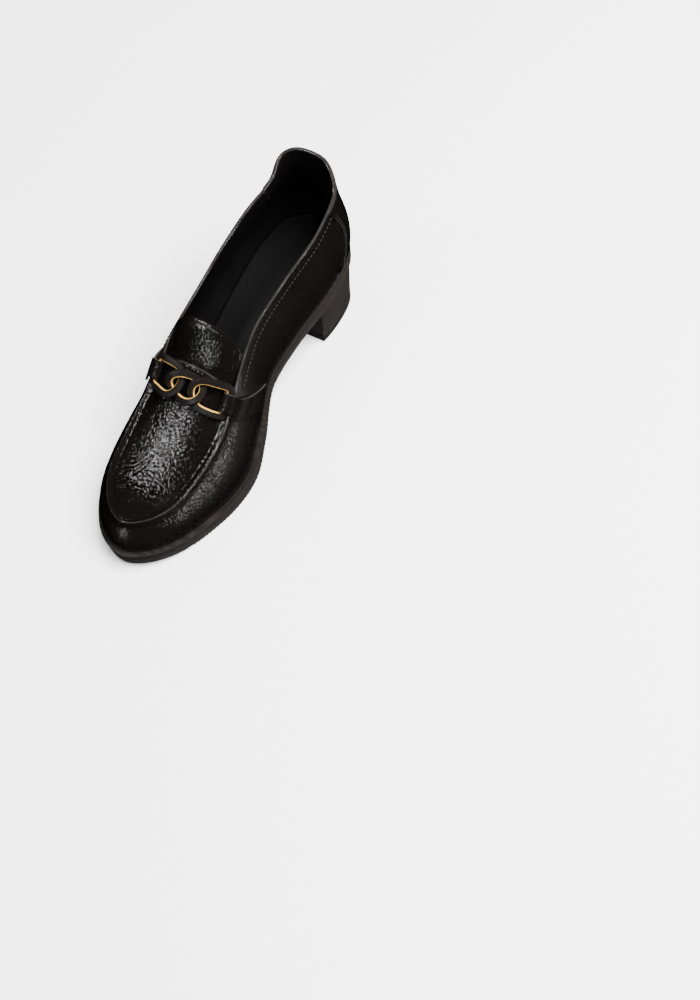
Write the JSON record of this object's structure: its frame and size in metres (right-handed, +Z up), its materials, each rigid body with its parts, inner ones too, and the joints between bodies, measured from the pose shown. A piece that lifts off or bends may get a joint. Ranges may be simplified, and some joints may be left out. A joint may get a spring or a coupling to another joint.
{
  "type": "loafer pump",
  "caption": "Right block-heel loafer pump in crinkled black patent leather with a three-link chain over the instep.",
  "frame": {"origin": "on the floor, in the middle of the top lift's underside from back to breast", "axes": "+X towards the toe, +Y to the wearer's left, which is this foot's inner side, +Z up"},
  "size_m": [0.2507, 0.0879, 0.1193],
  "materials": {
    "patent_leather": "crinkled patent, high gloss",
    "insole_leather": "smooth matte",
    "sole_rubber": "satin with fine lines",
    "coated_metal": "matte dark brown with a gold edge line"
  },
  "bodies": {
    "root": {"upper": "patent_leather", "tongue": "patent_leather", "strap_left": "patent_leather", "strap_right": "patent_leather", "insole": "insole_leather", "welt": "sole_rubber", "outsole": "sole_rubber", "heel_block": "sole_rubber", "top_lift": "sole_rubber", "chain_oval": "coated_metal", "chain_buckle_left": "coated_metal", "chain_buckle_right": "coated_metal"}
  },
  "joints": []
}
